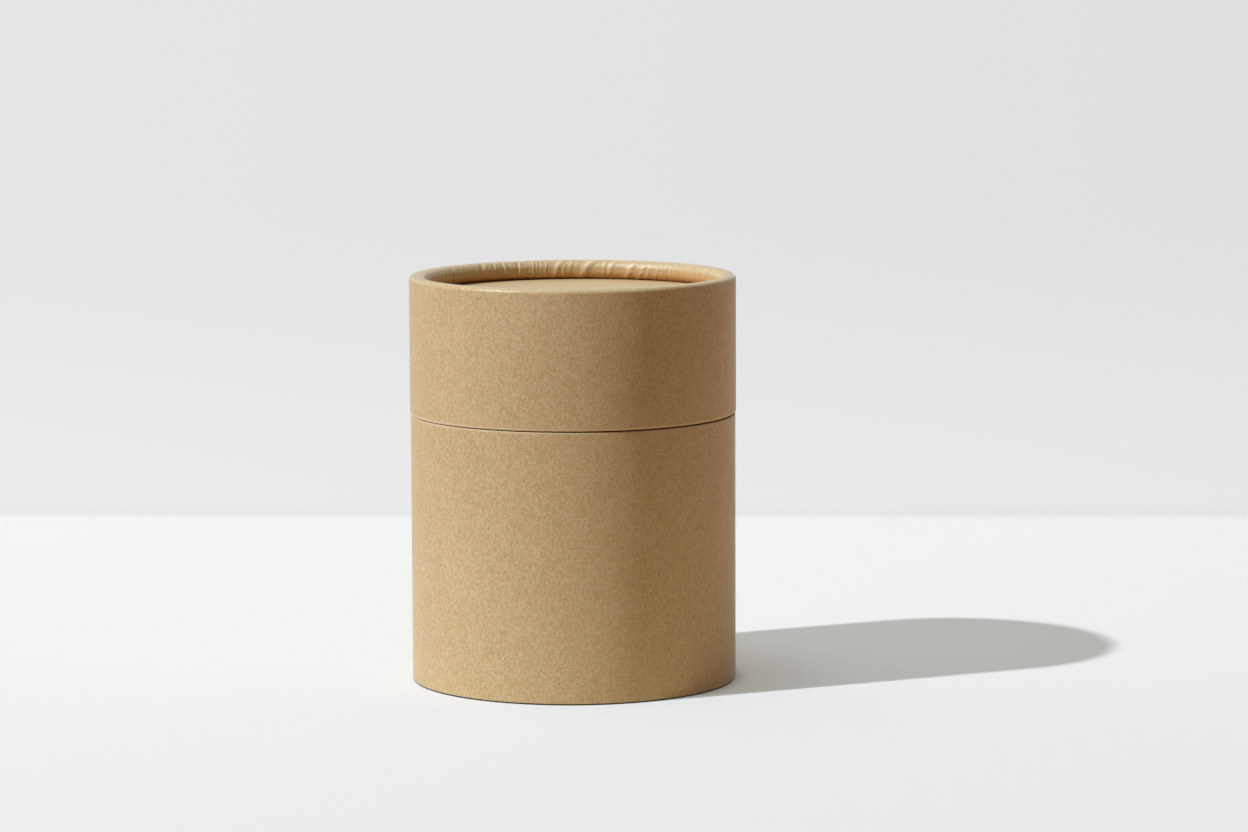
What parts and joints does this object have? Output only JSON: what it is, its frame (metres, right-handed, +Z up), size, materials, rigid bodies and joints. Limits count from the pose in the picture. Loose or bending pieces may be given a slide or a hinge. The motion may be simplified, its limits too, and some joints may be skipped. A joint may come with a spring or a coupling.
{
  "type": "paper candle tube",
  "caption": "Round kraft paper tube box for a candle, with rolled ends, recessed end discs and a lid that slides over an inner neck.",
  "frame": {"origin": "centre of the foot, on the surface that the tube stands on", "axes": "+Z up along the axis of the tube, from the foot to the lid; the tube is round, so X and Y are free"},
  "size_m": [0.0804, 0.0802, 0.1002],
  "materials": {
    "kraft_wrap": "uncoated kraft paper",
    "kraft_disc": "uncoated kraft paper",
    "kraft_neck": "uncoated kraft board"
  },
  "bodies": {
    "base": {"base_tube": "kraft_wrap", "base_disc": "kraft_disc", "neck_tube": "kraft_neck"},
    "lid": {"lid_tube": "kraft_wrap", "lid_disc": "kraft_disc"}
  },
  "joints": [
    {"name": "lid_lift", "type": "slide", "parent": "base", "child": "lid", "axis": [0, 0, 1], "range_m": [0, 0.04]}
  ]
}
